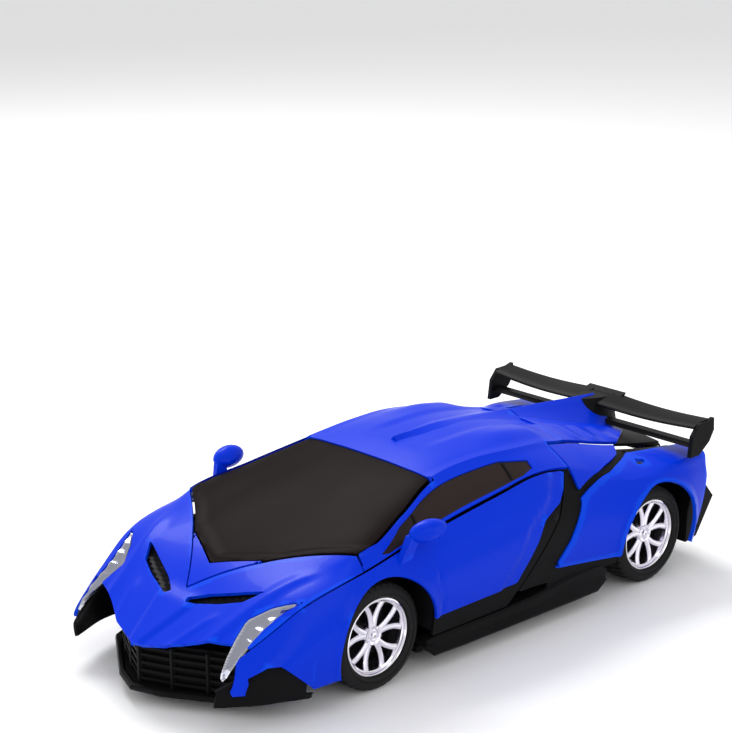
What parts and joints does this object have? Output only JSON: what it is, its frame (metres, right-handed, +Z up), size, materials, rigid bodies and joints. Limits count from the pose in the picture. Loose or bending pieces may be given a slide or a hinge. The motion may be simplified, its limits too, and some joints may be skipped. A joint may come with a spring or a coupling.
{
  "type": "transforming robot car",
  "caption": "Toy sports car whose body stands up on its tail into a robot, with nose shoulders, sliding arms, rising head and spinning wheels.",
  "frame": {"origin": "on the floor under the middle of the car's length and width", "axes": "+Z up, nose towards -Y, the car's left side towards +X"},
  "size_m": [0.125, 0.266, 0.0715],
  "materials": {
    "blue_shell": "gloss moulded plastic, saturated blue",
    "black_plastic": "satin black moulded plastic",
    "dark_glazing": "dark tinted opaque glazing",
    "silver_plastic": "silver-white painted plastic",
    "chrome_rim": "vacuum-plated chrome",
    "tyre_rubber": "black rubber",
    "steel": "bright steel",
    "red_lens": "red lens plastic",
    "magenta_lens": "magenta eye lens",
    "board_green": "circuit board lacquer",
    "cell_sleeve": "shrink sleeve"
  },
  "bodies": {
    "base": {"chassis_tray": "black_plastic", "base_screws": "steel", "rear_fender_left": "blue_shell", "rear_fender_right": "blue_shell", "side_skirt_left": "black_plastic", "side_skirt_right": "black_plastic", "boot_left": "blue_shell", "boot_right": "blue_shell", "stand_pin": "steel", "drive_housing": "black_plastic", "drive_motors": "steel", "rear_bumper": "black_plastic", "tail_lights": "red_lens", "tail_pin": "steel", "tail_bracket": "black_plastic"},
    "switch": {"power_switch": "black_plastic"},
    "tail": {"rear_deck": "blue_shell", "wing": "black_plastic"},
    "body": {"roof_shell": "blue_shell", "windshield": "dark_glazing", "side_windows": "dark_glazing", "hood_panel": "blue_shell", "torso_frame": "black_plastic", "fold_pin": "steel", "chest_plate": "blue_shell", "chest_insert": "silver_plastic", "waist_armour": "blue_shell", "hip_plate": "silver_plastic", "thighs": "silver_plastic", "battery_box": "black_plastic", "battery_cover": "black_plastic", "battery_cells": "cell_sleeve", "circuit_board": "board_green", "transform_motor": "steel", "speaker": "black_plastic"},
    "nose": {"hood": "blue_shell", "front_bumper": "blue_shell", "headlights": "chrome_rim", "splitter": "black_plastic", "grille": "black_plastic", "nose_frame": "black_plastic"},
    "head": {"helmet": "black_plastic", "face_plate": "silver_plastic", "visor": "magenta_lens"},
    "arm_left": {"arm_skin_left": "blue_shell", "arm_frame_left": "black_plastic"},
    "front_wheel_left": {"front_tyre_left": "tyre_rubber", "front_rim_left": "chrome_rim"},
    "rear_wheel_left": {"rear_tyre_left": "tyre_rubber", "rear_rim_left": "chrome_rim", "rear_shaft_left": "steel"},
    "arm_right": {"arm_skin_right": "blue_shell", "arm_frame_right": "black_plastic"},
    "front_wheel_right": {"front_tyre_right": "tyre_rubber", "front_rim_right": "chrome_rim"},
    "rear_wheel_right": {"rear_tyre_right": "tyre_rubber", "rear_rim_right": "chrome_rim", "rear_shaft_right": "steel"}
  },
  "joints": [
    {"name": "stand_up", "type": "hinge", "parent": "base", "child": "body", "pos_m": [0, 0.075, 0.025], "axis": [-1, 0, 0], "range_deg": [0, 90]},
    {"name": "nose_fold", "type": "hinge", "parent": "body", "child": "nose", "pos_m": [0, -0.06, 0.035], "axis": [1, 0, 0], "range_deg": [0, 90]},
    {"name": "arm_left_slide", "type": "slide", "parent": "nose", "child": "arm_left", "axis": [1, 0, 0], "range_m": [0, 0.045]},
    {"name": "arm_right_slide", "type": "slide", "parent": "nose", "child": "arm_right", "axis": [-1, 0, 0], "range_m": [0, 0.045]},
    {"name": "head_rise", "type": "slide", "parent": "nose", "child": "head", "axis": [0, 0, 1], "range_m": [0, 0.035]},
    {"name": "tail_tilt", "type": "hinge", "parent": "base", "child": "tail", "pos_m": [0, 0.121, 0.0435], "axis": [-1, 0, 0], "range_deg": [0, 100]},
    {"name": "power_switch_slide", "type": "slide", "parent": "base", "child": "switch", "axis": [0, -1, 0], "range_m": [0, 0.003]},
    {"name": "front_left_spin", "type": "hinge", "parent": "arm_left", "child": "front_wheel_left", "pos_m": [0, -0.06, 0.02], "axis": [1, 0, 0], "continuous": true},
    {"name": "rear_left_spin", "type": "hinge", "parent": "base", "child": "rear_wheel_left", "pos_m": [0, 0.09, 0.02], "axis": [1, 0, 0], "continuous": true},
    {"name": "front_right_spin", "type": "hinge", "parent": "arm_right", "child": "front_wheel_right", "pos_m": [0, -0.06, 0.02], "axis": [1, 0, 0], "continuous": true},
    {"name": "rear_right_spin", "type": "hinge", "parent": "base", "child": "rear_wheel_right", "pos_m": [0, 0.09, 0.02], "axis": [1, 0, 0], "continuous": true}
  ],
  "couplings": [
    {"joint": "nose_fold", "follows": "stand_up", "ratio": 1},
    {"joint": "arm_left_slide", "follows": "stand_up", "m_per_rad": 0.028648},
    {"joint": "arm_right_slide", "follows": "stand_up", "m_per_rad": 0.028648},
    {"joint": "head_rise", "follows": "stand_up", "m_per_rad": 0.022282},
    {"joint": "tail_tilt", "follows": "stand_up", "ratio": 1.1}
  ]
}
